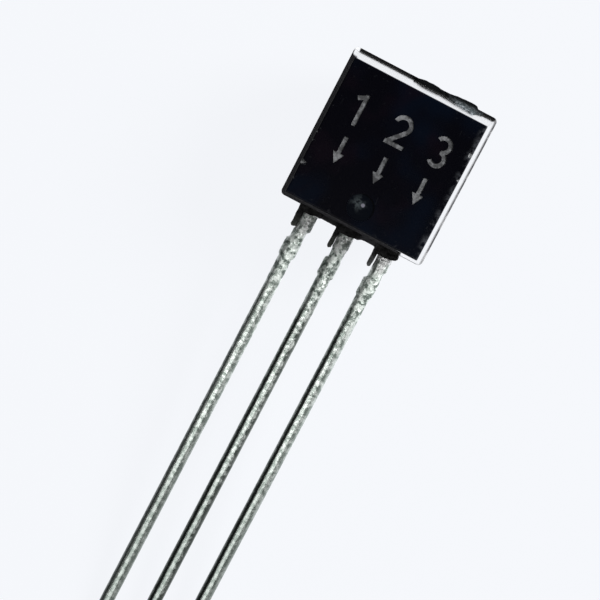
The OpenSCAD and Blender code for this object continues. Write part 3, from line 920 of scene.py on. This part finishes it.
def shapeBar(tree, size, bar):
    # wider and aside at the root and the neck, and wider across the tie-bar stubs
    spot = addNode(tree, "GeometryNodeInputPosition")
    x, y, z = spot.axes()
    below = size["Case end"] - y

    def zone(start, end):
        half = sweep["taper"] / 2
        return below.step(start - half, start + half) - below.step(end - half, end + half)

    rootLength, stubFrom = size["Root length"], size["Stub from"]
    root, neck = zone(sweep["rootFrom"], rootLength), zone(rootLength, stubFrom)
    stub = zone(stubFrom, stubFrom + size["Stub length"])
    wide = 1 + root * (size["Root width"] / size["Width"] - 1)
    wide = wide + stub * (size["Stub width"] / size["Width"] - 1)
    moved = x * wide + root * size["Root aside"] + neck * sweep["neckAside"]
    bar = addNode(tree, "GeometryNodeSetPosition", {"Geometry": bar, "Position": position(tree, moved, y, z)})

    # uneven tin: coarse near the case, fine along the rest
    shifted = addNode(tree, "ShaderNodeVectorMath", {
        0: spot, 1: position(tree, size["Seed"] * sweep["seedShift"])}, operation="ADD")
    coarse = (shifted.noise(*sweep["coarse"]) - 0.5) * below.step(*sweep["coarseTo"], 1.0, 0.12)
    drawn = shifted.noise(*sweep["drawn"]) - 0.5
    lift = (coarse * (sweep["coarseRough"] / sweep["fineRough"]) * 2 + drawn) * size["Roughness"] * 2
    normal = addNode(tree, "GeometryNodeInputNormal")
    offset = addNode(tree, "ShaderNodeVectorMath", {0: normal, "Scale": lift}, operation="SCALE")
    return addNode(tree, "GeometryNodeSetPosition", {"Geometry": bar, "Offset": offset})


def leadHead(tree, size):
    # the flattened head inside the case
    left, right, low, high = [size["Head " + side] for side in ("left", "right", "low", "high")]
    head = addNode(tree, "GeometryNodeMeshCube", {
        "Size": position(tree, right - left, high - low, size["Thickness"])})
    middle = position(tree, (right + left) * 0.5, (high + low) * 0.5)
    return addNode(tree, "GeometryNodeTransform", {"Geometry": head, "Translation": middle})


def leadTree():
    tree = bpy.data.node_groups.new("leadTree", "GeometryNodeTree")
    sizes = ["Top", "Tip", "Width", "Thickness", "Rounding", "Case end", "Root width", "Root length",
             "Root aside", "Stub width", "Stub from", "Stub length", "Spacing", "Roughness",
             "Head left", "Head right", "Head low", "Head high", "Seed"]
    for name in sizes:
        tree.interface.new_socket(name=name, in_out="INPUT", socket_type="NodeSocketFloat")
    tree.interface.new_socket(name="Geometry", in_out="OUTPUT", socket_type="NodeSocketGeometry")
    given = tree.nodes.new("NodeGroupInput")
    size = {name: Wire(tree, given.outputs[name]) for name in sizes}
    join = tree.nodes.new("GeometryNodeJoinGeometry")
    for piece in (leadHead(tree, size), shapeBar(tree, size, leadBar(tree, size))):
        tree.links.new(piece.socket, join.inputs[0])
    smooth = addNode(tree, "GeometryNodeSetShadeSmooth", {"Geometry": Wire(tree, join.outputs[0])})
    whole = addNode(tree, "GeometryNodeRealizeInstances", {"Geometry": smooth})
    whole = addNode(tree, "GeometryNodeSetMaterial", {"Geometry": whole, "Material": leadTin})
    addNode(tree, "NodeGroupOutput", {0: whole})
    return tree


def headSizes(name, x):
    # from the node's own box above the case's lower end
    corners = [turned.inverted() @ v.co / mm for v in frame["nodes"][name].data.vertices]
    head = [v for v in corners if v.y > -halfHeight + sweep["headFrom"]]
    return {"Head left": min(v.x for v in head) - x, "Head right": max(v.x for v in head) - x,
            "Head low": min(v.y for v in head if abs(v.x - x) > lead["width"] * 0.6),
            "Head high": max(v.y for v in head)}


def makeLead(tree, name, x, rootAside, seed):
    sizes = headSizes(name, x)
    sizes.update({
        "Top": sizes["Head low"] + sweep["headOverlap"], "Tip": -halfHeight - leadLength,
        "Width": lead["width"], "Thickness": lead["thickness"], "Rounding": lead["rounding"],
        "Case end": -halfHeight, "Root width": lead["rootWidth"], "Root length": lead["rootLength"],
        "Root aside": rootAside, "Stub width": lead["stubWidth"], "Stub from": lead["stubFrom"],
        "Stub length": lead["stubLength"], "Spacing": sweep["spacing"], "Roughness": sweep["fineRough"],
        "Seed": seed})
    thing = meshObject(name + "_tinned", bpy.data.meshes.new(name))
    modifier = thing.modifiers.new("lead", "NODES")
    modifier.node_group = tree
    for socket in tree.interface.items_tree:
        if socket.in_out == "INPUT":
            modifier[socket.identifier] = float(sizes[socket.name])
    bake(thing)
    thing.data.transform(place @ Matrix.Translation((x + tin["aside"], 0, 0)))
    ridesOn(thing, "tinned_lead", name)
    return thing


tree = leadTree()
for seed, (name, x, rootAside) in enumerate(zip(leadNames, leadX, lead["rootAside"])):
    thing = makeLead(tree, name, x, rootAside, seed + 1)
